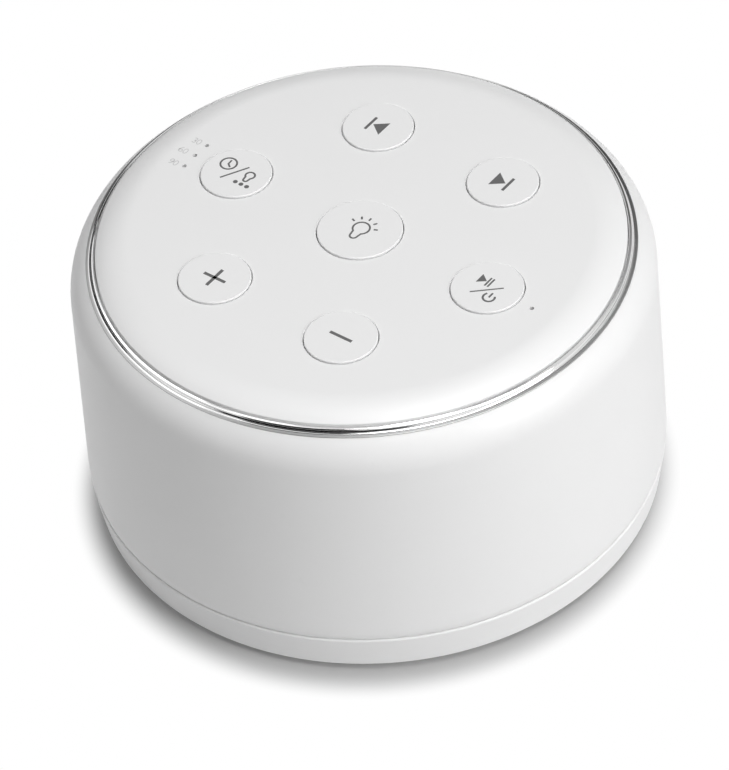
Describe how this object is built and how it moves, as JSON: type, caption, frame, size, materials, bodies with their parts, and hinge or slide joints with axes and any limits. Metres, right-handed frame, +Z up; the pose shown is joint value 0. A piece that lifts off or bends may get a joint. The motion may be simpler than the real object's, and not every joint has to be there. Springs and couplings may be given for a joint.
{
  "type": "white noise sound machine",
  "caption": "Round table-top sound machine with a glowing side wall, a plated ring, round push buttons in its top and a loudspeaker that fires down.",
  "frame": {"origin": "centre of the footprint on the table", "axes": "+Z up, -Y the front, +Y the back with the power socket"},
  "size_m": [0.1, 0.1, 0.0548],
  "materials": {
    "milky_wall": "satin, milky",
    "white_panel": "satin",
    "white_base": "satin",
    "white_cap": "satin",
    "chrome_trim": "polished",
    "foot_rubber": "matte",
    "white_chassis": "matte",
    "board_green": "solder mask",
    "black_plastic": "matte",
    "clear_pipe": "clear",
    "led_white": "glossy",
    "cell_wrap": "foil",
    "zinc_steel": "zinc plated",
    "ferrite": "matte",
    "paper_cone": "matte",
    "copper_coil": "lacquered",
    "black_rubber": "matte",
    "spider_cloth": "woven",
    "gasket_foam": "foam",
    "grille_cloth": "woven"
  },
  "bodies": {
    "housing": {"diffuser_shell": "milky_wall", "trim_ring": "chrome_trim", "top_panel": "white_panel", "base_cover": "white_base", "rubber_feet": "foot_rubber", "key_board": "board_green", "board_chips": "black_plastic", "switch_bodies": "black_plastic", "indicator_leds": "led_white", "light_pipes": "clear_pipe", "inner_chassis": "white_chassis", "lamp_board": "board_green", "lamp_leds": "led_white", "battery_cell": "cell_wrap", "speaker_basket": "zinc_steel", "speaker_front_plate": "zinc_steel", "speaker_magnet": "ferrite", "speaker_yoke": "zinc_steel", "speaker_surround": "black_rubber", "speaker_spider": "spider_cloth", "speaker_gasket": "gasket_foam", "speaker_cloth": "grille_cloth", "usb_shell": "zinc_steel", "usb_tongue": "black_plastic", "power_board": "board_green", "case_screws": "zinc_steel"},
    "speaker_cone_assembly": {"speaker_cone": "paper_cone", "speaker_dust_cap": "paper_cone", "speaker_voice_coil": "copper_coil"},
    "light_key": {"button_light": "white_cap", "stem_light": "black_plastic"},
    "play_key": {"button_play": "white_cap", "stem_play": "black_plastic"},
    "next_key": {"button_next": "white_cap", "stem_next": "black_plastic"},
    "previous_key": {"button_previous": "white_cap", "stem_previous": "black_plastic"},
    "timer_key": {"button_timer": "white_cap", "stem_timer": "black_plastic"},
    "plus_key": {"button_plus": "white_cap", "stem_plus": "black_plastic"},
    "minus_key": {"button_minus": "white_cap", "stem_minus": "black_plastic"}
  },
  "joints": [
    {"name": "press_light", "type": "slide", "parent": "housing", "child": "light_key", "axis": [0, 0, -1], "range_m": [0, 0.0003], "stiffness_N_per_m": 4000},
    {"name": "press_play", "type": "slide", "parent": "housing", "child": "play_key", "axis": [0, 0, -1], "range_m": [0, 0.0003], "stiffness_N_per_m": 4000},
    {"name": "press_next", "type": "slide", "parent": "housing", "child": "next_key", "axis": [0, 0, -1], "range_m": [0, 0.0003], "stiffness_N_per_m": 4000},
    {"name": "press_previous", "type": "slide", "parent": "housing", "child": "previous_key", "axis": [0, 0, -1], "range_m": [0, 0.0003], "stiffness_N_per_m": 4000},
    {"name": "press_timer", "type": "slide", "parent": "housing", "child": "timer_key", "axis": [0, 0, -1], "range_m": [0, 0.0003], "stiffness_N_per_m": 4000},
    {"name": "press_plus", "type": "slide", "parent": "housing", "child": "plus_key", "axis": [0, 0, -1], "range_m": [0, 0.0003], "stiffness_N_per_m": 4000},
    {"name": "press_minus", "type": "slide", "parent": "housing", "child": "minus_key", "axis": [0, 0, -1], "range_m": [0, 0.0003], "stiffness_N_per_m": 4000},
    {"name": "cone_travel", "type": "slide", "parent": "housing", "child": "speaker_cone_assembly", "axis": [0, 0, 1], "range_m": [-0.001, 0.001], "stiffness_N_per_m": 1500, "deforming": ["speaker_surround", "speaker_spider"]}
  ]
}
